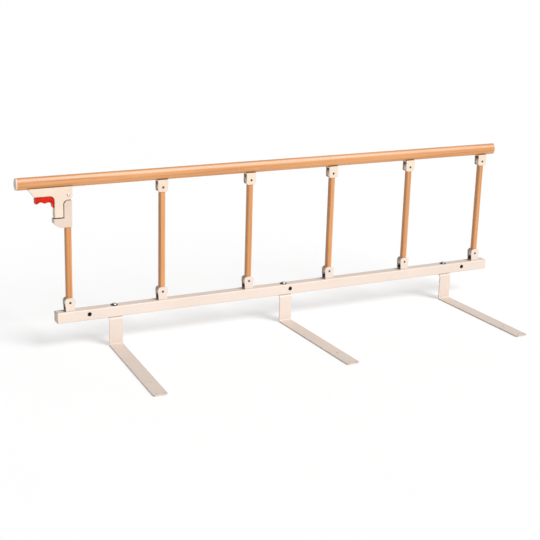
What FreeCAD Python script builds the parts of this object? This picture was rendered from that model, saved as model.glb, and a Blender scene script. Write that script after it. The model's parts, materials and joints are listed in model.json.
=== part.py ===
"""Folding bed assist rail: six posts between a square lower rail and an oval handrail.

Frame: origin on the floor under the middle of the bounding box, +X along the rail away
from the latch, +Z up, feet pointing to -Y.  Millimetres.
"""
import FreeCAD, Part
import math
import os

os.makedirs("parts", exist_ok=True)

Vector = FreeCAD.Vector
X_AXIS = Vector(1, 0, 0)
Y_AXIS = Vector(0, 1, 0)
Z_AXIS = Vector(0, 0, 1)

# ---------------------------------------------------------------- driving dimensions
LENGTH = 1254.0            # handrail with its caps
POSTS = 6
SPACING = 220.0            # post to post
LATCH_OVERHANG = 114.5     # first post to the handrail's end
POST_SPAN = 244.0          # lower pivot to upper pivot

FOOT_REACH = 320.0         # rail's front face to the foot's tip
FOOT_WIDTH = 32.0
STRAP = 3.0                # thickness of the foot strap
FOOT_PROUD = 2.5           # leg in front of the rail
FOOT_HEIGHT = 67.0         # floor to the rail's underside
FOOT_OFFSETS = {"left": 104.9, "middle": 536.9, "right": 1005.0}    # from the first post
FOOT_TOES = {"left": -3.7, "middle": 0.7, "right": 0.6}             # degrees about its bolt

WASHER = 1.2
WASHER_RADIUS = 8.2
BOLT_HEAD = 2.6            # height

RAIL = 25.0                # square tube
RAIL_WALL = 1.5
RAIL_CORNER = 2.5
RAIL_OVERHANG_LEFT = 31.5
RAIL_OVERHANG_RIGHT = 35.0
RAIL_PLUG = 3.5
BED_BOLT_OFFSETS = (42.7, 549.8, 1056.7)     # from the first post
BED_BOLT_RISE = 1.5        # above the middle of the rail
BED_HOLE = 5.0             # radius
M8_CLEARANCE = 4.25        # radius

PIN_ABOVE_RAIL = 19.5
KNUCKLE = 10.2             # radius of the posts' ends in their clevises
BUFFER_TO_PIN = 11.2       # pivot to the face of the rubber buffer
EAR_WIDTH = 24.6
EAR_FOOT_WIDTH = 20.6       # lower ears where they meet the web
CLEVIS_DEPTH = 17.0
CLEVIS_GAP = 14.4
WEB = 3.0
EAR_BEYOND_PIN = 10.6
LOWER_EAR_CORNER = 6.5
UPPER_EAR_CORNER = 6.0

POST_WIDTH = 14.8
POST_DEPTH = 13.6
POST_CORNER = 5.0
POST_WALL = 1.2
POST_END = 9.0             # pivot to the end of the post's tube
TONGUE_DEPTH = 13.8
SPIGOT = 20.0

GRIP_HEIGHT = 27.0         # handrail section, an oval of four arcs
GRIP_DEPTH = 18.0
GRIP_END_RADIUS = 6.5      # of its top and bottom arcs
GRIP_WALL = 1.2
GRIP_ABOVE_PIN = 30.0
GRIP_CAP = 4.2
CRADLE = 19.0              # upper pivot to the rim of the housing's cradle under the handrail
BRACKET_CRADLE = 17.3      # the same for the upper brackets

RIVET = 2.0                # shank radius
RIVET_HEAD = 2.7
RIVET_HEAD_HEIGHT = 0.9
LATCH_RIVET_HEAD = 3.4
PIVOT_PLAY = 0.05          # radial, lower pivots and the latch pivot
OPEN_PIVOT_PLAY = 0.10     # radial, upper pivots of posts 2 to 6
SCREW = 1.95               # shank radius of the hidden screws
SCREW_PLAY = 0.05

# ---------------------------------------------------------------- derived places
LEFT_END = -LENGTH / 2
FIRST_POST = LEFT_END + LATCH_OVERHANG
POST_X = [FIRST_POST + i * SPACING for i in range(POSTS)]
RAIL_FRONT = (FOOT_REACH - RAIL) / 2
RAIL_BACK = RAIL_FRONT + RAIL
MIDDLE = RAIL_FRONT + RAIL / 2           # plane of the posts and pivots' middles
RAIL_BOTTOM = FOOT_HEIGHT
RAIL_TOP = RAIL_BOTTOM + RAIL
RAIL_LEFT = POST_X[0] - RAIL_OVERHANG_LEFT
RAIL_RIGHT = POST_X[-1] + RAIL_OVERHANG_RIGHT
LOWER_PIN = RAIL_TOP + PIN_ABOVE_RAIL
UPPER_PIN = LOWER_PIN + POST_SPAN
GRIP_Z = UPPER_PIN + GRIP_ABOVE_PIN
GRIP_BOTTOM = GRIP_Z - GRIP_HEIGHT / 2
WEB_FACE = GRIP_BOTTOM - WEB             # underside of the upper clevises' webs
MUCH = 400.0                             # reach of cutting tools


# ---------------------------------------------------------------- shape helpers
def block(x0, x1, y0, y1, z0, z1):
    return Part.makeBox(x1 - x0, y1 - y0, z1 - z0, Vector(x0, y0, z0))


def rod(radius, start, direction, length):
    return Part.makeCylinder(radius, length, Vector(*start), direction)


def edges_along(shape, axis):
    """Straight edges that run along the axis."""
    straight = [edge for edge in shape.Edges if edge.Curve.TypeId == "Part::GeomLine"]
    return [edge for edge in straight if abs(abs(edge.tangentAt(edge.FirstParameter).dot(axis)) - 1) < 1e-6]


def edges_at(shape, axis, value):
    """Edges that lie whole in the plane where the axis coordinate has this value."""
    def coordinate(vertex):
        return vertex.Point.dot(axis)
    return [edge for edge in shape.Edges if all(abs(coordinate(v) - value) < 1e-6 for v in edge.Vertexes)]


def rounded_block(radius, axis, bounds):
    shape = block(*bounds)
    return shape.makeFillet(radius, edges_along(shape, axis))


def oval(shrink, x0, x1):
    """Bar along X at the handrail's place: four arcs, offset inwards by shrink."""
    half_height = GRIP_HEIGHT / 2
    half_depth = GRIP_DEPTH / 2
    rise = half_height - GRIP_END_RADIUS
    side_radius = (rise ** 2 + half_depth ** 2 - GRIP_END_RADIUS ** 2) / (2 * (half_depth - GRIP_END_RADIUS))
    inset = side_radius - half_depth
    reach = (side_radius - shrink) / math.hypot(inset, rise)
    y = inset * reach - inset
    z = rise * reach

    def at(dy, dz):
        return Vector(x0, MIDDLE + dy, GRIP_Z + dz)

    side = half_depth - shrink
    end = half_height - shrink
    arcs = [
        Part.Arc(at(y, z), at(side, 0), at(y, -z)),
        Part.Arc(at(y, -z), at(0, -end), at(-y, -z)),
        Part.Arc(at(-y, -z), at(-side, 0), at(-y, z)),
        Part.Arc(at(-y, z), at(0, end), at(y, z)),
    ]
    return Part.Face(Part.Wire([arc.toShape() for arc in arcs])).extrude(X_AXIS * (x1 - x0))


def outline(points):
    """Closed wire. A point is a Vector, or a (middle, end) pair for an arc."""
    edges = []
    here = points[0]
    for step in points[1:]:
        if isinstance(step, tuple):
            middle, end = step
            edges.append(Part.Arc(here, middle, end).toShape())
            here = end
        else:
            edges.append(Part.LineSegment(here, step).toShape())
            here = step
    edges.append(Part.LineSegment(here, points[0]).toShape())
    return Part.Wire(edges)


def turned(profile, origin, direction):
    """Solid of revolution. The profile lists (radius, distance along the direction)."""
    side = Z_AXIS if abs(direction.dot(Z_AXIS)) < 0.5 else X_AXIS
    base = Vector(*origin)

    def place(point):
        return base + side * point[0] + direction * point[1]

    points = []
    for step in profile:
        points.append(tuple(place(p) for p in step) if isinstance(step[0], tuple) else place(step))
    return Part.Face(outline(points)).revolve(base, direction, 360)


def screw(origin, direction, length, play=0.0):
    """Countersunk screw whose flat head starts at the origin; play gives the hole that takes it."""
    head = 3.5 + play
    shank = SCREW + play
    cone = head - shank
    profile = [(0, -play), (head, -play), (head, 0), (shank, cone), (shank, length + play), (0, length + play)]
    if not play:
        profile = [(0, 0), (head, 0), (shank, cone), (shank, length), (0, length)]
    return turned(profile, origin, direction)


def rivet(x, z, head=RIVET_HEAD):
    """Through rivet along Y with a low domed head at each end."""
    half = CLEVIS_DEPTH / 2
    crown = half + RIVET_HEAD_HEIGHT
    shoulder = half + RIVET_HEAD_HEIGHT * 0.7
    flat = head * 0.35
    bulge = head * 0.78
    profile = [
        (0, -crown),
        (flat, -crown),
        ((bulge, -shoulder), (head, -half)),
        (RIVET, -half),
        (RIVET, half),
        (head, half),
        ((bulge, shoulder), (flat, crown)),
        (0, crown),
    ]
    return turned(profile, (x, MIDDLE, z), Y_AXIS)


def save(name, shape):
    shape.exportStep("parts/%s.step" % name)


# ---------------------------------------------------------------- lower rail and feet
def bracket_screw_places(x):
    return (x - 6, x + 6)


def foot_bolt_x(side):
    return POST_X[0] + FOOT_OFFSETS[side]


def lower_rail():
    x0 = RAIL_LEFT + RAIL_PLUG
    x1 = RAIL_RIGHT - RAIL_PLUG
    outer = rounded_block(RAIL_CORNER, X_AXIS, (x0, x1, RAIL_FRONT, RAIL_BACK, RAIL_BOTTOM, RAIL_TOP))
    w = RAIL_WALL
    hollow = (x0, x1, RAIL_FRONT + w, RAIL_BACK - w, RAIL_BOTTOM + w, RAIL_TOP - w)
    tube = outer.cut(rounded_block(RAIL_CORNER - w, X_AXIS, hollow))
    middle_z = RAIL_BOTTOM + RAIL / 2 + BED_BOLT_RISE
    holes = [rod(BED_HOLE, (POST_X[0] + offset, RAIL_FRONT - 1, middle_z), Y_AXIS, RAIL + 2)
             for offset in BED_BOLT_OFFSETS]
    holes += [rod(M8_CLEARANCE, (foot_bolt_x(side), MIDDLE, RAIL_BOTTOM - 1), Z_AXIS, RAIL + 2)
              for side in FOOT_OFFSETS]
    for x in POST_X:
        holes += [rod(SCREW + SCREW_PLAY, (place, MIDDLE, RAIL_TOP - 5), Z_AXIS, 6)
                  for place in bracket_screw_places(x)]
    return tube.cut(holes)


def rail_plug(x, inward):
    """Plastic plug; x is its outer end and inward points into the tube."""
    rim = rounded_block(RAIL_CORNER, X_AXIS, (*sorted((x, x + inward * RAIL_PLUG)),
                                              RAIL_FRONT, RAIL_BACK, RAIL_BOTTOM, RAIL_TOP))
    rim = rim.makeFillet(2.2, edges_at(rim, X_AXIS, x))
    w = RAIL_WALL + 0.1
    start = x + inward * RAIL_PLUG
    spigot = block(*sorted((start, start + inward * 14)),
                   RAIL_FRONT + w, RAIL_BACK - w, RAIL_BOTTOM + w, RAIL_TOP - w)
    spigot = spigot.makeFillet(1.2, edges_along(spigot, X_AXIS))
    w += 2
    bore = block(*sorted((start, start + inward * 15)),
                 RAIL_FRONT + w, RAIL_BACK - w, RAIL_BOTTOM + w, RAIL_TOP - w)
    return rim.fuse(spigot.cut(bore)).removeSplitter()


def foot(side):
    """Flat strap bent twice: flange under the rail, short leg, long foot along the floor."""
    inner = 2.5
    outer = inner + STRAP
    slant = math.sqrt(0.5)
    top = FOOT_HEIGHT
    flange = 23.0 + FOOT_PROUD
    front = RAIL_FRONT - FOOT_PROUD
    reach = FOOT_REACH - FOOT_PROUD
    x0 = foot_bolt_x(side) - FOOT_WIDTH / 2

    def at(out, z):
        return Vector(x0, front - out, z)

    wire = outline([
        at(reach, 0),
        at(inner, 0),
        (at(inner - outer * slant, outer - outer * slant), at(-STRAP, outer)),
        at(-STRAP, top - outer),
        (at(-outer + inner * slant, top - outer + inner * slant), at(-outer, top - STRAP)),
        at(-flange, top - STRAP),
        at(-flange, top),
        at(-outer, top),
        (at(-outer + outer * slant, top - outer + outer * slant), at(0, top - outer)),
        at(0, outer),
        (at(inner - inner * slant, outer - inner * slant), at(inner, STRAP)),
        at(reach, STRAP),
    ])
    strap = Part.Face(wire).extrude(X_AXIS * FOOT_WIDTH)
    ends = edges_along(strap, Z_AXIS)
    tip = [edge for edge in ends if edge.CenterOfMass.y < RAIL_FRONT - FOOT_REACH + 1]
    strap = strap.makeFillet(6.0, tip)
    back = [edge for edge in edges_along(strap, Z_AXIS) if edge.CenterOfMass.y > front + flange - 1]
    strap = strap.makeFillet(4.0, back)
    x = foot_bolt_x(side)
    cuts = [rod(M8_CLEARANCE, (x, MIDDLE, top - 6), Z_AXIS, 8)]
    for out, shift in ((313.0, -8.7), (313.0, 8.7), (246.0, 0.0)):
        cuts.append(rod(2.25, (x + shift, RAIL_FRONT - out, -1), Z_AXIS, STRAP + 2))
    strap = strap.cut(cuts)
    strap.rotate(Vector(x, MIDDLE, 0), Z_AXIS, FOOT_TOES[side])
    return strap


def bolt_washer(x):
    ring = rod(WASHER_RADIUS, (x, MIDDLE, RAIL_TOP), Z_AXIS, WASHER)
    ring = ring.makeFillet(0.5, edges_at(ring, Z_AXIS, RAIL_TOP + WASHER))
    return ring.cut(rod(M8_CLEARANCE, (x, MIDDLE, RAIL_TOP - 1), Z_AXIS, WASHER + 2))


def hexagon(x, y, z, across, height):
    radius = across / math.sqrt(3)
    corners = [Vector(x + radius * math.cos(math.radians(60 * k)), y + radius * math.sin(math.radians(60 * k)), z)
               for k in range(6)]
    return Part.Face(outline(corners)).extrude(Z_AXIS * height)


def foot_bolt(x):
    """Button-head bolt down through the rail and the foot's flange."""
    seat = RAIL_TOP + WASHER
    profile = [
        (0, BOLT_HEAD),
        (3.0, BOLT_HEAD),
        ((4.9, BOLT_HEAD * 0.75), (5.9, 0.4)),
        (5.9, 0),
        (4.0, 0),
        (4.0, -(seat - 55.0)),
        (0, -(seat - 55.0)),
    ]
    bolt = turned(profile, (x, MIDDLE, seat), Z_AXIS)
    return bolt.cut(hexagon(x, MIDDLE, seat + BOLT_HEAD - 2.0, 5.0, 4))


def foot_nut(x):
    height = 6.5
    z = FOOT_HEIGHT - STRAP - height
    nut = hexagon(x, MIDDLE, z, 13.0, height)
    return nut.cut(rod(4.05, (x, MIDDLE, z - 1), Z_AXIS, height + 2))


# ---------------------------------------------------------------- clevises
def soften(shape, radius, faces):
    """Round the rim edges of the flat faces at these Y values that are away from other pieces."""
    edges = []
    for y, low, high in faces:
        edges += [edge for edge in edges_at(shape, Y_AXIS, y) if low < edge.CenterOfMass.z < high]
    return shape.makeFillet(radius, edges)


def clevis(x, pin, web, tip, corner, web_width):
    """Block of the ears' outline: as wide as web_width at the web, full width past the pivot."""
    half = EAR_WIDTH / 2
    web_half = web_width / 2
    flare = pin + (2.0 if web < pin else -2.0)
    front = MIDDLE - CLEVIS_DEPTH / 2
    corners = [(-web_half, web), (-half, flare), (-half, tip), (half, tip), (half, flare), (web_half, web)]
    wire = outline([Vector(x + side, front, z) for side, z in corners])
    shape = Part.Face(wire).extrude(Y_AXIS * CLEVIS_DEPTH)
    ends = [edge for edge in edges_along(shape, Y_AXIS) if abs(edge.CenterOfMass.z - tip) < 1e-6]
    return shape.makeFillet(corner, ends)


def clevis_slot(x, z0, z1):
    return block(x - EAR_WIDTH, x + EAR_WIDTH, MIDDLE - CLEVIS_GAP / 2, MIDDLE + CLEVIS_GAP / 2, z0, z1)


def rivet_hole(x, z):
    return rod(RIVET + PIVOT_PLAY, (x, MIDDLE - CLEVIS_DEPTH, z), Y_AXIS, CLEVIS_DEPTH * 2)


def lower_bracket(x):
    top = LOWER_PIN + EAR_BEYOND_PIN
    shape = clevis(x, LOWER_PIN, RAIL_TOP, top, LOWER_EAR_CORNER, EAR_FOOT_WIDTH)
    front, back = MIDDLE - CLEVIS_DEPTH / 2, MIDDLE + CLEVIS_DEPTH / 2
    shape = soften(shape, 0.6, [(front, RAIL_TOP + 1, top + 1), (back, RAIL_TOP + 1, top + 1)])
    shape = shape.cut(clevis_slot(x, RAIL_TOP + WEB, top + 1))
    holes = [rivet_hole(x, LOWER_PIN)]
    for place in bracket_screw_places(x):
        holes.append(screw((place, MIDDLE, RAIL_TOP + WEB), -Z_AXIS, 9, SCREW_PLAY))
    return shape.cut(holes)


def upper_bracket(x):
    low = UPPER_PIN - EAR_BEYOND_PIN
    high = UPPER_PIN + BRACKET_CRADLE
    shape = clevis(x, UPPER_PIN, high, low, UPPER_EAR_CORNER, EAR_WIDTH)
    front, back = MIDDLE - CLEVIS_DEPTH / 2, MIDDLE + CLEVIS_DEPTH / 2
    shape = soften(shape, 0.6, [(front, low - 1, high - 1), (back, low - 1, high - 1)])
    shape = shape.cut(clevis_slot(x, low - 1, WEB_FACE))
    shape = shape.cut(oval(0.0, x - EAR_WIDTH, x + EAR_WIDTH))
    holes = [rivet_hole(x, UPPER_PIN)]
    for place in bracket_screw_places(x):
        holes.append(screw((place, MIDDLE, WEB_FACE), Z_AXIS, 9, SCREW_PLAY))
    return shape.cut(holes)


def buffer(x, z0, z1, free_face):
    """Rubber block between the ears, seated on the web; free_face is its open Z face."""
    half = CLEVIS_GAP / 2 - 0.1
    pad = block(x - 9, x + 9, MIDDLE - half, MIDDLE + half, z0, z1)
    rim = [edge for edge in edges_along(pad, Y_AXIS) if abs(edge.CenterOfMass.z - free_face) < 1e-6]
    return pad.makeFillet(1.5, rim)


# ---------------------------------------------------------------- posts
def post_section(x, z0, z1, shrink):
    bounds = (x - POST_WIDTH / 2 + shrink, x + POST_WIDTH / 2 - shrink,
              MIDDLE - POST_DEPTH / 2 + shrink, MIDDLE + POST_DEPTH / 2 - shrink, z0, z1)
    return rounded_block(POST_CORNER - shrink, Z_AXIS, bounds)


def post_tube(x):
    z0 = LOWER_PIN + POST_END
    z1 = UPPER_PIN - POST_END
    return post_section(x, z0, z1, 0.0).cut(post_section(x, z0, z1, POST_WALL))


def post_end(x, pin, up, play, radius):
    """Plastic end piece: a rounded tongue on the pivot and a spigot in the tube.

    up is +1 at the lower end of the post and -1 at its upper end; radius is that of its knuckle.
    """
    half = TONGUE_DEPTH / 2
    side = POST_WIDTH / 2
    knuckle = rod(radius, (x, MIDDLE - half, pin), Y_AXIS, TONGUE_DEPTH)
    knuckle = knuckle.cut(block(x - radius, x + radius, MIDDLE - half, MIDDLE + half,
                                *sorted((pin + up * POST_END, pin + up * 2 * POST_END))))
    tongue = block(x - side, x + side, MIDDLE - half, MIDDLE + half, *sorted((pin, pin + up * POST_END)))
    tongue = knuckle.fuse(tongue).removeSplitter()
    start = pin + up * POST_END
    spigot = post_section(x, *sorted((start, start + up * SPIGOT)), POST_WALL + 0.1)
    return tongue.fuse(spigot).cut(rod(RIVET + play, (x, MIDDLE - half - 1, pin), Y_AXIS, TONGUE_DEPTH + 2))


# ---------------------------------------------------------------- handrail
def grip_tube():
    x0 = LEFT_END + GRIP_CAP
    x1 = -LEFT_END - GRIP_CAP
    tube = oval(0.0, x0, x1).cut(oval(GRIP_WALL, x0, x1))
    holes = []
    for x in POST_X:
        holes += [rod(SCREW + SCREW_PLAY, (place, MIDDLE, GRIP_BOTTOM - 1), Z_AXIS, 5)
                  for place in bracket_screw_places(x)]
    return tube.cut(holes)


def grip_cap(x, inward):
    rim = oval(0.0, *sorted((x, x + inward * GRIP_CAP)))
    rim = rim.makeFillet(3.4, edges_at(rim, X_AXIS, x))
    start = x + inward * GRIP_CAP
    w = GRIP_WALL + 0.1
    spigot = oval(w, *sorted((start, start + inward * 14)))
    bore = oval(w + 2, *sorted((start, start + inward * 15)))
    return rim.fuse(spigot.cut(bore))


# ---------------------------------------------------------------- latch
# Places in the latch are (x, z) from the first post's upper pivot.
HOUSING_HALF = CLEVIS_DEPTH / 2
CAVITY_HALF = 6.4
TRIGGER_HALF = 6.1
PLUNGER_X = -21.0
PLUNGER = 3.0
LEG_LEFT = -30.6
LEG_RIGHT = -11.2
LEG_BOTTOM = -48.4
LEG_FLOOR = -42.4          # top of the solid block that guides the plunger
ARM_UNDERSIDE = 0.5
BOSS = 10.0                # radius of the housing about the pivot
SHELF = (-14.5, -11.5)     # rib that the spring pushes against
COLLAR = (-41.9, -39.4)    # collar on the plunger, under the spring
SLEEVE_LEFT = -9.8
SLEEVE_RIGHT = 8.4
SLEEVE_TOP = -12.2
SLEEVE_BOTTOM = -71.5
SLEEVE_FOOT_TOP = -50.6
SLEEVE_FOOT_LEFT = -32.8
SLEEVE_CORNER = 8.5
SLEEVE_SCREWS = (-38.0, -62.0)
COVER_SCREWS = ((-77.0, 11.5), (-10.9, 6.0), (-27.0, -45.6))


def latch_point(x, z, depth=0.0):
    return Vector(POST_X[0] + x, MIDDLE + depth, UPPER_PIN + z)


def latch_block(x0, x1, half, z0, z1):
    return block(POST_X[0] + x0, POST_X[0] + x1, MIDDLE - half, MIDDLE + half, UPPER_PIN + z0, UPPER_PIN + z1)


def latch_plate(steps, half):
    """Plate of the given outline, as thick as twice half. Steps are (x, z) or arc pairs of them."""
    points = []
    for step in steps:
        if isinstance(step[0], tuple):
            points.append(tuple(latch_point(*p, depth=-half) for p in step))
        else:
            points.append(latch_point(*step, depth=-half))
    return Part.Face(outline(points)).extrude(Y_AXIS * 2 * half)


def housing_body():
    """Pistol-shaped solid: arm under the handrail, leg down to the sleeve, boss about the pivot."""
    slant = math.sqrt(0.5)
    bend = 10.0
    bend_x = LEG_LEFT - bend
    bend_z = ARM_UNDERSIDE - bend
    steps = [
        (-88.4, CRADLE),
        (-74.8, ARM_UNDERSIDE),
        (bend_x, ARM_UNDERSIDE),
        ((bend_x + bend * slant, bend_z + bend * slant), (LEG_LEFT, bend_z)),
        (LEG_LEFT, LEG_BOTTOM),
        (LEG_RIGHT, LEG_BOTTOM),
        (LEG_RIGHT, -20.7),
        ((-8.6, -13.5), (-0.5, -BOSS)),
        ((BOSS * slant, -BOSS * slant), (BOSS, 0)),
        (BOSS, CRADLE),
    ]
    body = latch_plate(steps, HOUSING_HALF)
    foot_edges = [edge for edge in edges_along(body, Y_AXIS)
                  if abs(edge.CenterOfMass.z - UPPER_PIN - LEG_BOTTOM) < 1e-6]
    body = body.makeFillet(1.0, foot_edges)
    for y, radius in ((MIDDLE - HOUSING_HALF, 0.9), (MIDDLE + HOUSING_HALF, 1.8)):
        rims = [edge for edge in edges_at(body, Y_AXIS, y) if edge.CenterOfMass.z < UPPER_PIN + CRADLE - 1e-3]
        body = body.makeFillet(radius, rims)
    return body


def latch_shell():
    """Housing body hollowed for the trigger, the plunger, the spring and the post's end."""
    shell = housing_body()
    cuts = [
        oval(0.0, LEFT_END, POST_X[1]),
        latch_block(-73.0, LEG_LEFT, CAVITY_HALF, -12, CRADLE + 1),
        latch_block(-92.0, -71.5, 4.5, 15.4, CRADLE + 1),
        latch_block(LEG_LEFT - 1, -13.3, 5.0, -8.0, CRADLE + 1),
        latch_block(-28.5, -13.3, CAVITY_HALF, LEG_FLOOR, SHELF[0]),
        latch_block(-28.5, -13.3, CAVITY_HALF, SHELF[1], CRADLE + 1),
        latch_block(-9.0, 12.0, CLEVIS_GAP / 2, -26.0, WEB_FACE - UPPER_PIN),
        rod(PLUNGER + 0.2, latch_point(PLUNGER_X, LEG_BOTTOM - 1), Z_AXIS, 45.0),
        rivet_hole(POST_X[0], UPPER_PIN),
    ]
    for place in bracket_screw_places(POST_X[0]):
        cuts.append(screw((place, MIDDLE, WEB_FACE), Z_AXIS, 9, SCREW_PLAY))
    for x, z in COVER_SCREWS:
        cuts.append(cover_screw(x, z, SCREW_PLAY))
    return shell.cut(cuts)


def cover_screw(x, z, play=0.0):
    head = 2.4 + play
    shank = 1.2 + play
    profile = [(0, -play), (head, -play), (head, 0), (shank, head - shank), (shank, 13), (0, 13)]
    if not play:
        profile = [(0, 0), (head, 0), (shank, head - shank), (shank, 12.9), (0, 12.9)]
    return turned(profile, latch_point(x, z, HOUSING_HALF), -Y_AXIS)


def behind_split():
    return block(POST_X[0] - MUCH, POST_X[0] + MUCH, MIDDLE + CAVITY_HALF, MIDDLE + MUCH, 0, 2 * MUCH)


def trigger():
    """Squeeze trigger with two finger grooves and a tail down the leg."""
    inside = LEG_LEFT - 0.3
    left = -72.0
    top = 6.0
    grip = latch_plate([
        (left, top),
        (left, -14.1),
        ((-71.5, -15.3), (-70.0, -15.6)),
        ((-68.0, -15.4), (-66.2, -14.4)),
        ((-60.6, -12.0), (-55.0, -14.0)),
        ((-51.4, -14.9), (-47.8, -14.1)),
        ((-42.2, -13.3), (-37.2, -15.5)),
        ((-35.2, -19.0), (-34.4, -23.4)),
        ((-32.8, -25.9), (inside, -25.4)),
        (inside, top),
    ], TRIGGER_HALF)
    arm = latch_block(inside - 1, PLUNGER_X + 6, 4.7, -2.0, 5.0)
    hole = rod(PLUNGER + 0.05, latch_point(PLUNGER_X, -3.0), Z_AXIS, 9.0)
    return grip.fuse(arm).removeSplitter().cut(hole)


def latch_plunger():
    """Steel pin through the trigger's arm, with a head above it and a collar under the spring."""
    tip = LEG_BOTTOM + 0.2
    profile = [
        (0, tip),
        (PLUNGER - 0.8, tip),
        (PLUNGER, tip + 0.8),
        (PLUNGER, COLLAR[0]),
        (5.5, COLLAR[0]),
        (5.5, COLLAR[1]),
        (PLUNGER, COLLAR[1]),
        (PLUNGER, 5.0),
        (4.5, 5.0),
        (4.5, 7.0),
        (0, 7.0),
    ]
    return turned(profile, latch_point(PLUNGER_X, 0), Z_AXIS)


def trigger_spring():
    wire = 0.45
    radius = 4.3
    turns = 7
    low = COLLAR[1] + wire + 0.1
    height = SHELF[0] - wire - 0.1 - low
    helix = Part.makeHelix(height / turns, height, radius)
    section = Part.Wire(Part.makeCircle(wire, Vector(radius, 0, 0), Y_AXIS))
    spring = Part.Wire(helix).makePipeShell([section], True, True)
    spring.translate(latch_point(PLUNGER_X, low))
    return Part.Solid(spring) if spring.ShapeType != "Solid" else spring


def latch_sleeve():
    """L-shaped sleeve round the first post; the housing's leg stands on its foot."""
    slant = math.sqrt(0.5)
    corner_x = SLEEVE_LEFT + SLEEVE_CORNER
    corner_z = SLEEVE_TOP - SLEEVE_CORNER
    shape = latch_plate([
        (SLEEVE_LEFT, corner_z),
        ((corner_x - SLEEVE_CORNER * slant, corner_z + SLEEVE_CORNER * slant), (corner_x, SLEEVE_TOP)),
        (SLEEVE_RIGHT, SLEEVE_TOP),
        (SLEEVE_RIGHT, SLEEVE_BOTTOM),
        (-12.0, SLEEVE_BOTTOM),
        ((-23.6, -68.6), (SLEEVE_FOOT_LEFT, -60.5)),
        (SLEEVE_FOOT_LEFT, SLEEVE_FOOT_TOP),
        (SLEEVE_LEFT, SLEEVE_FOOT_TOP),
    ], HOUSING_HALF)
    rims = edges_at(shape, Y_AXIS, MIDDLE - HOUSING_HALF) + edges_at(shape, Y_AXIS, MIDDLE + HOUSING_HALF)
    shape = shape.makeFillet(0.9, rims)
    cuts = [
        post_section(POST_X[0], UPPER_PIN + SLEEVE_BOTTOM - 1, UPPER_PIN + SLEEVE_TOP + 1, -0.05),
        rod(PLUNGER + 0.5, latch_point(PLUNGER_X, SLEEVE_FOOT_TOP - 8), Z_AXIS, 9.0),
    ]
    cuts += [sleeve_screw(z, SCREW_PLAY) for z in SLEEVE_SCREWS]
    return shape.cut(cuts)


def sleeve_screw(z, play=0.0):
    return screw(latch_point(0, z, HOUSING_HALF), -Y_AXIS, 7, play)


# ---------------------------------------------------------------- write the nodes
def write_base():
    save("lower_rail", lower_rail())
    save("rail_plug_left", rail_plug(RAIL_LEFT, 1))
    save("rail_plug_right", rail_plug(RAIL_RIGHT, -1))
    for side in FOOT_OFFSETS:
        save("foot_%s" % side, foot(side))
    bolts = [foot_bolt_x(side) for side in FOOT_OFFSETS]
    save("foot_bolts", Part.makeCompound([foot_bolt(x) for x in bolts]))
    save("bolt_washers", Part.makeCompound([bolt_washer(x) for x in bolts]))
    save("foot_nuts", Part.makeCompound([foot_nut(x) for x in bolts]))
    for number, x in enumerate(POST_X, 1):
        save("lower_bracket_%d" % number, lower_bracket(x))
    face = LOWER_PIN - BUFFER_TO_PIN
    save("lower_buffers", Part.makeCompound([buffer(x, RAIL_TOP + WEB, face, face) for x in POST_X]))
    save("lower_rivets", Part.makeCompound([rivet(x, LOWER_PIN) for x in POST_X]))
    places = [place for x in POST_X for place in bracket_screw_places(x)]
    save("lower_bracket_screws",
         Part.makeCompound([screw((x, MIDDLE, RAIL_TOP + WEB), -Z_AXIS, 9) for x in places]))


def write_posts():
    for number, x in enumerate(POST_X, 1):
        tube = post_tube(x)
        if number == 1:
            tube = tube.cut([sleeve_screw(z, SCREW_PLAY) for z in SLEEVE_SCREWS])
        save("post_tube_%d" % number, tube)
        save("post_foot_%d" % number, post_end(x, LOWER_PIN, 1, PIVOT_PLAY, KNUCKLE))
        play = PIVOT_PLAY if number == 1 else OPEN_PIVOT_PLAY
        radius = POST_WIDTH / 2 if number == 1 else KNUCKLE
        save("post_head_%d" % number, post_end(x, UPPER_PIN, -1, play, radius))
    save("latch_sleeve", latch_sleeve())
    save("sleeve_screws", Part.makeCompound([sleeve_screw(z) for z in SLEEVE_SCREWS]))


def write_handrail():
    save("handrail_tube", grip_tube())
    save("handrail_cap_left", grip_cap(LEFT_END, 1))
    save("handrail_cap_right", grip_cap(-LEFT_END, -1))
    for number, x in enumerate(POST_X[1:], 2):
        save("upper_bracket_%d" % number, upper_bracket(x))
    face = UPPER_PIN + BUFFER_TO_PIN
    save("upper_buffers", Part.makeCompound([buffer(x, face, WEB_FACE, face) for x in POST_X[1:]]))
    save("upper_rivets", Part.makeCompound([rivet(x, UPPER_PIN) for x in POST_X[1:]]))
    save("latch_rivet", rivet(POST_X[0], UPPER_PIN, LATCH_RIVET_HEAD))
    places = [place for x in POST_X for place in bracket_screw_places(x)]
    save("upper_bracket_screws",
         Part.makeCompound([screw((x, MIDDLE, WEB_FACE), Z_AXIS, 9) for x in places]))


def write_latch():
    shell = latch_shell()
    save("latch_housing", shell.cut(behind_split()))
    save("latch_cover", shell.common(behind_split()))
    save("cover_screws", Part.makeCompound([cover_screw(x, z) for x, z in COVER_SCREWS]))
    save("trigger", trigger())
    save("latch_plunger", latch_plunger())
    save("trigger_spring", trigger_spring())


write_base()
write_posts()
write_handrail()
write_latch()
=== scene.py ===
"""Looks of the folding bed assist rail: finishes on the CAD nodes, studio, lights and camera.

Everything is in metres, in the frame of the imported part. Colours are linear red, green and blue.
"""
import bpy
import json
import math
from mathutils import Matrix, Vector


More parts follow.
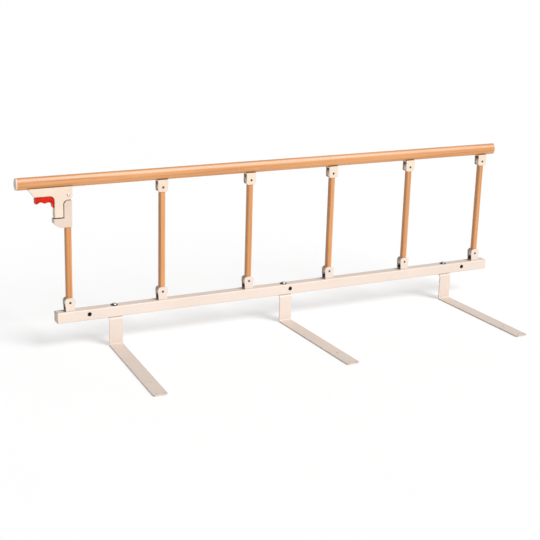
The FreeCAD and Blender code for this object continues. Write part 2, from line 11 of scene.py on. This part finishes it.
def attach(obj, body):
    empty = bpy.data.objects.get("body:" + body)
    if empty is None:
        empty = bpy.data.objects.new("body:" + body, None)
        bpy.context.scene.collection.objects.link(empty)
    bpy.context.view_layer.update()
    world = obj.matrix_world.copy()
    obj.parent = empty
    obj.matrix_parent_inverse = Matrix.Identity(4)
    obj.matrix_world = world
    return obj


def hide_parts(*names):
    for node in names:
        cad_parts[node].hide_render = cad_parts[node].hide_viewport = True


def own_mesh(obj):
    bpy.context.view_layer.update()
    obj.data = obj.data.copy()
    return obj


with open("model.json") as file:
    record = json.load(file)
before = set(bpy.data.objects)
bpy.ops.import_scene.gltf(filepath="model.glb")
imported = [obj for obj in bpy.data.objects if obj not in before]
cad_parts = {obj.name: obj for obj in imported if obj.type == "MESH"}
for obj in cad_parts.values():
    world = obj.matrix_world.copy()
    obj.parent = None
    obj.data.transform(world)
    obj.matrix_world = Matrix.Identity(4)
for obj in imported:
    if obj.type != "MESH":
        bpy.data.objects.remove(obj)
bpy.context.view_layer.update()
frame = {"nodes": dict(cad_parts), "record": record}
NODES = frame["nodes"]

# ---------------------------------------------------------------- camera
CAMERA_PLACE = Vector((-1.2897, -2.2650, 0.9426))
CAMERA_YAW = 27.767          # degrees, from +Y towards +X
CAMERA_PITCH = 16.517        # degrees below the horizon
CAMERA_ROLL = 1.686          # degrees
CAMERA_LENS = 79.55          # millimetres, on the sensor below
CAMERA_SENSOR = 36.0
CAMERA_REACH = 100.0

# ---------------------------------------------------------------- colours
COAT_LIGHT = (0.740, 0.630, 0.550)
COAT_SHADE = (0.700, 0.585, 0.505)
# painted shade: the colour the coat is darkened towards in its corners
COAT_CORNER_SHADE = (0.50, 0.41, 0.34)
MOULD_LIGHT = (0.770, 0.640, 0.520)
MOULD_SHADE = (0.715, 0.580, 0.465)
# painted shade: the colour the mouldings are darkened towards in their corners
MOULD_CORNER_SHADE = (0.42, 0.33, 0.26)
SLEEVE_LIGHT = (0.690, 0.555, 0.465)
SLEEVE_SHADE = (0.640, 0.505, 0.420)
FITTING_LIGHT = (0.82, 0.73, 0.64)
FITTING_SHADE = (0.72, 0.63, 0.55)
GRAIN_LIGHT = (0.670, 0.315, 0.120)
GRAIN_MIDDLE = (0.590, 0.255, 0.085)
GRAIN_DARK = (0.430, 0.155, 0.042)
RED_LIGHT = (0.640, 0.014, 0.001)
RED_DARK = (0.400, 0.006, 0.001)
RUBBER_LIGHT = (0.030, 0.028, 0.026)
RUBBER_DARK = (0.010, 0.009, 0.009)
ZINC_LIGHT = (0.760, 0.760, 0.740)
ZINC_DARK = (0.450, 0.450, 0.440)
DULL_LIGHT = (0.110, 0.110, 0.108)
DULL_DARK = (0.045, 0.045, 0.044)
# painted deep shade for the insides of hollows and narrow gaps
PAINTED_HOLLOW_SHADE = (0.012, 0.011, 0.010)

# ---------------------------------------------------------------- details
ALONG_GRAIN = 4.0            # noise scales of the wood-grain film
ACROSS_GRAIN = 260.0
TRIGGER_BEVEL = 0.0008
TRIGGER_BEVEL_STEPS = 3
SHARP_ANGLE = 50.0           # degrees; only sharper edges are bevelled

# ---------------------------------------------------------------- studio values
FLOOR_SIZE = 30.0
FLOOR_COLOUR = (0.58, 0.58, 0.58)
FLOOR_MOTTLE = 0.99          # how dark its darker clouds are, against FLOOR_COLOUR
FLOOR_GLOW = 0.44            # keeps the shadows on the paper faint
WORLD_LEFT = 0.02            # light from all round, from the left and from the right
WORLD_RIGHT = 0.72
FADE_LEFT = -0.7             # sideways parts of the directions between which it changes
FADE_RIGHT = 0.5
BACKDROP_STRENGTH = 1.0      # as the camera sees it
KEY_STRENGTH = 2.8
KEY_SPREAD = 34.0            # degrees
KEY_FROM = Vector((0.38, -0.69, 0.62))


# ---------------------------------------------------------------- node helpers
class Nodes:
    """A node tree and a short call that adds a node to it."""

    def __init__(self, tree):
        self.tree = tree

    def feed(self, socket, value):
        """Joins another node's output to the socket, or sets it to a plain value."""
        if isinstance(value, bpy.types.NodeSocket):
            self.tree.links.new(value, socket)
        else:
            socket.default_value = value

    def add(self, kind, inputs=None, **settings):
        node = self.tree.nodes.new(kind)
        for key, value in settings.items():
            setattr(node, key, value)
        for key, value in (inputs or {}).items():
            self.feed(node.inputs[key], value)
        return node


class Material(Nodes):
    """A new material, with calls for the patterns that the finishes are made of."""

    # The mix node has a socket of each name for each data type, so its colour sockets go by number.
    MIX_FACTOR, MIX_FIRST, MIX_SECOND, MIX_RESULT = 0, 6, 7, 2

    def __init__(self, name):
        self.material = bpy.data.materials.new(name)
        self.material.use_nodes = True
        super().__init__(self.material.node_tree)
        self.shader = self.tree.nodes["Principled BSDF"]
        self.place = self.add("ShaderNodeTexCoord").outputs["Object"]

    def set(self, **values):
        """Feeds the shader's sockets, whose names have underscores here in place of spaces."""
        for key, value in values.items():
            self.feed(self.shader.inputs[key.replace("_", " ")], value)

    def stretched(self, x, y, z):
        inputs = {"Vector": self.place, "Scale": (x, y, z)}
        return self.add("ShaderNodeMapping", inputs).outputs["Vector"]

    def noise(self, scale, detail=4.0, roughness=0.5, distortion=0.0, vector=None):
        inputs = {
            "Vector": vector or self.place,
            "Scale": scale,
            "Detail": detail,
            "Roughness": roughness,
            "Distortion": distortion,
        }
        return self.add("ShaderNodeTexNoise", inputs).outputs["Fac"]

    def ramp(self, value, stops):
        """Colour ramp; stops are (position, colour) pairs."""
        node = self.add("ShaderNodeValToRGB", {"Fac": value})
        elements = node.color_ramp.elements
        while len(elements) < len(stops):
            elements.new(0.5)
        for element, (position, colour) in zip(elements, stops):
            element.position = position
            element.color = (*colour, 1)
        return node.outputs["Color"]

    def spread(self, value, low, high, start=0.35, end=0.65):
        """The value's stretch from start to end, laid out from low to high."""
        inputs = {"Value": value, "From Min": start, "From Max": end, "To Min": low, "To Max": high}
        return self.add("ShaderNodeMapRange", inputs).outputs["Result"]

    def mix(self, factor, first, second):
        """From the first colour, an output, to the second, a plain colour."""
        inputs = {self.MIX_FACTOR: factor, self.MIX_FIRST: first, self.MIX_SECOND: (*second, 1)}
        return self.add("ShaderNodeMix", inputs, data_type="RGBA").outputs[self.MIX_RESULT]

    def bump(self, height, distance, strength, below=None):
        """Normal of a surface with this relief, on top of the relief below."""
        inputs = {"Height": height, "Distance": distance, "Strength": strength}
        if below:
            inputs["Normal"] = below
        return self.add("ShaderNodeBump", inputs).outputs["Normal"]

    def crevices(self, distance, most, start=0.0, end=1.0):
        """0 in the open, up to most in corners. Start and end say how tight a corner has to be."""
        # ambient occlusion: this mask is where the finishes paint shade into corners
        node = self.add("ShaderNodeAmbientOcclusion", {"Distance": distance}, samples=6)
        tightness = self.spread(node.outputs["AO"], low=1.0, high=0.0, start=0.35, end=0.95)
        return self.spread(tightness, 0.0, most, start, end)


# ---------------------------------------------------------------- finishes
def coat(name, hollow):
    """Satin cream powder coat: slight orange peel, clouds in the colour, painted shade in the corners.

    A hollow piece gets painted deep shade inside, where it is tight.
    """
    m = Material(name)
    clouds = m.noise(scale=9.0, detail=5.0, roughness=0.6)
    specks = m.noise(scale=900.0, detail=2.0, roughness=0.6)
    colour = m.ramp(clouds, [(0.3, COAT_SHADE), (0.7, COAT_LIGHT)])
    colour = m.mix(m.spread(specks, low=0.0, high=0.10), colour, COAT_SHADE)
    # painted shade: the coat darkens in corners, where shade falls, through the occlusion mask
    colour = m.mix(m.crevices(distance=0.006, most=0.35), colour, COAT_CORNER_SHADE)
    if hollow:
        # painted deep shade: the inside of the hollow tube goes near black where the occlusion mask finds
        # it tight
        colour = m.mix(m.crevices(distance=0.016, most=1.0, start=0.86, end=0.94), colour, PAINTED_HOLLOW_SHADE)
    gloss = m.spread(m.noise(scale=160.0), low=0.34, high=0.48)
    peel = m.bump(m.noise(scale=620.0, detail=3.0, roughness=0.55), distance=0.00012, strength=0.5)
    skin = m.bump(m.noise(scale=2600.0, detail=2.0), distance=0.00004, strength=0.4, below=peel)
    m.set(Base_Color=colour, Roughness=gloss, Normal=skin, Coat_Weight=0.12, Coat_Roughness=0.25)
    return m.material


def mould(name, light, shade):
    """Cream moulded plastic with a fine spark-eroded skin, with painted shade in its corners and painted
    deep shade in its narrow gaps.
    """
    m = Material(name)
    clouds = m.noise(scale=22.0, roughness=0.55)
    colour = m.ramp(clouds, [(0.3, shade), (0.7, light)])
    # painted shade: the moulding darkens in corners, where shade falls, through the occlusion mask
    colour = m.mix(m.crevices(distance=0.005, most=0.45), colour, MOULD_CORNER_SHADE)
    # painted deep shade: narrow gaps go near black where the occlusion mask finds them tight
    colour = m.mix(m.crevices(distance=0.012, most=0.95, start=0.72, end=0.92), colour, PAINTED_HOLLOW_SHADE)
    gloss = m.spread(m.noise(scale=240.0), low=0.38, high=0.52)
    skin = m.bump(m.noise(scale=3200.0, detail=2.0, roughness=0.6), distance=0.00005, strength=0.6)
    flow = m.bump(m.noise(scale=70.0, detail=3.0), distance=0.0002, strength=0.25, below=skin)
    m.set(Base_Color=colour, Roughness=gloss, Normal=flow)
    m.set(Subsurface_Weight=0.03, Subsurface_Scale=0.002)
    return m.material


def fitting():
    """Grey-beige plastic of the posts' end pieces."""
    m = Material("grey_plastic")
    clouds = m.noise(scale=60.0, roughness=0.6)
    colour = m.ramp(clouds, [(0.3, FITTING_SHADE), (0.7, FITTING_LIGHT)])
    gloss = m.spread(m.noise(scale=300.0), low=0.42, high=0.58)
    skin = m.bump(m.noise(scale=2800.0, detail=2.0, roughness=0.6), distance=0.00005, strength=0.6)
    m.set(Base_Color=colour, Roughness=gloss, Normal=skin)
    return m.material


def grain(name, scale, coat_weight, coat_roughness):
    """Wood-grain film under clear coat. Scale is small along the grain and large across it."""
    m = Material(name)
    x, y, z = scale
    drift = m.noise(scale=1.0, detail=3.0, vector=m.stretched(x * 0.5, y * 0.12, z * 0.12))
    streaks = m.noise(scale=1.0, detail=7.0, roughness=0.62, distortion=0.35, vector=m.stretched(x, y, z))
    pores = m.noise(scale=1.0, roughness=0.55, distortion=0.1, vector=m.stretched(x * 7, y * 5, z * 5))
    shift = m.spread(drift, low=-0.10, high=0.10)
    figure = m.add("ShaderNodeMath", {0: streaks, 1: shift}, operation="ADD").outputs[0]
    colour = m.ramp(figure, [(0.26, GRAIN_DARK), (0.44, GRAIN_MIDDLE), (0.66, GRAIN_LIGHT)])
    colour = m.mix(m.spread(pores, low=0.38, high=0.0, start=0.30, end=0.46), colour, GRAIN_DARK)
    relief = m.bump(pores, distance=0.00006, strength=0.35)
    peel = m.bump(m.noise(scale=500.0, detail=2.0), distance=0.00008, strength=0.25, below=relief)
    m.set(Base_Color=colour, Roughness=m.spread(streaks, low=0.30, high=0.42), Normal=peel)
    m.set(Coat_Weight=coat_weight, Coat_Roughness=coat_roughness, Specular_IOR_Level=0.45)
    return m.material


def rubber():
    """Matt black rubber of the blocks and washers."""
    m = Material("black_rubber")
    clouds = m.noise(scale=180.0, detail=5.0, roughness=0.65)
    colour = m.ramp(clouds, [(0.35, RUBBER_DARK), (0.7, RUBBER_LIGHT)])
    gloss = m.spread(m.noise(scale=300.0, detail=3.0), low=0.62, high=0.82)
    skin = m.bump(m.noise(scale=1500.0, detail=3.0, roughness=0.6), distance=0.0001, strength=0.6)
    m.set(Base_Color=colour, Roughness=gloss, Normal=skin)
    return m.material


def red():
    """Glossy red moulded plastic, with faint flow marks, rubbed patches and painted shade in its corners.
    """
    m = Material("red_plastic")
    colour = m.ramp(m.noise(scale=75.0, roughness=0.6), [(0.30, RED_DARK), (0.55, RED_LIGHT)])
    # painted shade: the red darkens in corners, where shade falls, through the occlusion mask
    colour = m.mix(m.crevices(distance=0.008, most=0.85), colour, RED_DARK)
    gloss = m.spread(m.noise(scale=220.0), low=0.30, high=0.46)
    skin = m.bump(m.noise(scale=1800.0, detail=2.0), distance=0.00004, strength=0.4)
    m.set(Base_Color=colour, Roughness=gloss, Normal=skin, Specular_IOR_Level=0.2)
    return m.material


def zinc(name, light, dark):
    """Zinc plate: metal with a crystal mottle and fine turning marks."""
    m = Material(name)
    crystals = m.add("ShaderNodeTexVoronoi", {"Vector": m.place, "Scale": 700.0}).outputs["Distance"]
    cloud = m.noise(scale=300.0, detail=5.0, roughness=0.65)
    colour = m.ramp(cloud, [(0.3, dark), (0.7, light)])
    colour = m.mix(m.spread(crystals, low=0.0, high=0.25, start=0.1, end=0.8), colour, dark)
    marks = m.bump(m.noise(scale=4000.0, detail=3.0, roughness=0.6), distance=0.00003, strength=0.5)
    m.set(Base_Color=colour, Metallic=1.0, Roughness=m.spread(cloud, low=0.24, high=0.44), Normal=marks)
    return m.material


def recover(mesh, finish):
    """Takes the mesh's own materials off and puts the finish on."""
    mesh.materials.clear()
    mesh.materials.append(finish)


def dress():
    """Gives each CAD node the finish that its material slot in the record names."""
    x_scale = (ALONG_GRAIN, ACROSS_GRAIN, ACROSS_GRAIN)
    z_scale = (ACROSS_GRAIN, ACROSS_GRAIN, ALONG_GRAIN)
    along_x = grain("woodgrain_along_x", x_scale, coat_weight=0.42, coat_roughness=0.30)
    along_z = grain("woodgrain_along_z", z_scale, coat_weight=0.30, coat_roughness=0.28)
    tube_coat = coat("tube_coat", hollow=True)
    finishes = {
        "cream_coat": coat("cream_coat", hollow=False),
        "cream_plastic": mould("cream_plastic", MOULD_LIGHT, MOULD_SHADE),
        "sleeve_plastic": mould("sleeve_plastic", SLEEVE_LIGHT, SLEEVE_SHADE),
        "grey_plastic": fitting(),
        "black_rubber": rubber(),
        "red_plastic": red(),
        "zinc": zinc("zinc", ZINC_LIGHT, ZINC_DARK),
        "dark_zinc": zinc("dark_zinc", DULL_LIGHT, DULL_DARK),
    }
    for part in frame["record"]["subparts"]:
        name = part["node"]
        slot = part["material_slot"]
        if slot == "woodgrain_film":
            finish = along_x if name.startswith("handrail") else along_z
        elif name == "lower_rail":
            finish = tube_coat
        else:
            finish = finishes[slot]
        recover(NODES[name].data, finish)
    return finishes


# ---------------------------------------------------------------- pieces
def placed(name, data):
    """New object in the scene, of a mesh, light or camera."""
    thing = bpy.data.objects.new(name, data)
    bpy.context.scene.collection.objects.link(thing)
    return thing


def soften_trigger():
    """Rounds the moulded trigger's edges."""
    bevel = NODES["trigger"].modifiers.new("edge", "BEVEL")
    bevel.width = TRIGGER_BEVEL
    bevel.segments = TRIGGER_BEVEL_STEPS
    bevel.limit_method = "ANGLE"
    bevel.angle_limit = math.radians(SHARP_ANGLE)
    bevel.harden_normals = False


def spring(finish):
    """The plunger's spring, as a piece of its own that rides with the handrail."""
    mesh = NODES["trigger_spring"].data.copy()
    recover(mesh, finish)
    coil = placed("coil_spring", mesh)
    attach(coil, "handrail")
    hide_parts("trigger_spring")
    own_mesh(coil)


# ---------------------------------------------------------------- studio
def floor():
    """Plain pale paper under the feet."""
    half = FLOOR_SIZE / 2
    corners = [(-half, -half, 0), (half, -half, 0), (half, half, 0), (-half, half, 0)]
    mesh = bpy.data.meshes.new("floor")
    mesh.from_pydata(corners, [], [(0, 1, 2, 3)])
    ground = placed("floor", mesh)
    m = Material("floor_paper")
    darker = tuple(c * FLOOR_MOTTLE for c in FLOOR_COLOUR)
    shade = m.ramp(m.noise(scale=3.0, detail=3.0), [(0.3, darker), (0.7, FLOOR_COLOUR)])
    m.set(Base_Color=shade, Roughness=0.9, Specular_IOR_Level=0.1)
    m.set(Emission_Color=(1, 1, 1, 1), Emission_Strength=FLOOR_GLOW)
    mesh.materials.append(m.material)


def backdrop():
    """White as the camera sees it, and a light from all round that fades towards the left."""
    world = bpy.data.worlds.new("studio")
    world.use_nodes = True
    bpy.context.scene.world = world
    w = Nodes(world.node_tree)
    direction = w.add("ShaderNodeTexCoord").outputs["Generated"]
    sideways = w.add("ShaderNodeSeparateXYZ", {"Vector": direction}).outputs["X"]
    fade = w.add("ShaderNodeMapRange", {
        "Value": sideways,
        "From Min": FADE_LEFT,
        "From Max": FADE_RIGHT,
        "To Min": WORLD_LEFT,
        "To Max": WORLD_RIGHT,
    }).outputs["Result"]
    seen = w.add("ShaderNodeLightPath").outputs["Is Camera Ray"]
    inputs = {"Value": seen, "To Min": fade, "To Max": BACKDROP_STRENGTH}
    strength = w.add("ShaderNodeMapRange", inputs).outputs["Result"]
    background = w.tree.nodes["Background"]
    w.feed(background.inputs["Color"], (1, 1, 1, 1))
    w.feed(background.inputs["Strength"], strength)


def key_light():
    """One broad light from the front, the right and above."""
    data = bpy.data.lights.new("key", "SUN")
    data.energy = KEY_STRENGTH
    data.angle = math.radians(KEY_SPREAD)
    key = placed("key", data)
    key.rotation_euler = (-KEY_FROM).to_track_quat("-Z", "Y").to_euler()


def camera():
    yaw = math.radians(CAMERA_YAW)
    pitch = math.radians(CAMERA_PITCH)
    roll = math.radians(CAMERA_ROLL)
    ahead = Vector((math.sin(yaw), math.cos(yaw), 0))
    level = Vector((math.cos(yaw), -math.sin(yaw), 0))
    forward = ahead * math.cos(pitch) - Vector((0, 0, math.sin(pitch)))
    upright = level.cross(forward)
    right = level * math.cos(roll) + upright * math.sin(roll)
    up = upright * math.cos(roll) - level * math.sin(roll)
    data = bpy.data.cameras.new("camera")
    data.lens = CAMERA_LENS
    data.sensor_width = CAMERA_SENSOR
    data.clip_end = CAMERA_REACH
    seer = placed("camera", data)
    turn = Matrix((right, up, -forward)).transposed().to_4x4()
    seer.matrix_world = Matrix.Translation(CAMERA_PLACE) @ turn
    bpy.context.scene.camera = seer


finishes = dress()
soften_trigger()
spring(finishes["zinc"])
floor()
backdrop()
key_light()
camera()
bpy.context.scene.view_settings.view_transform = "Standard"
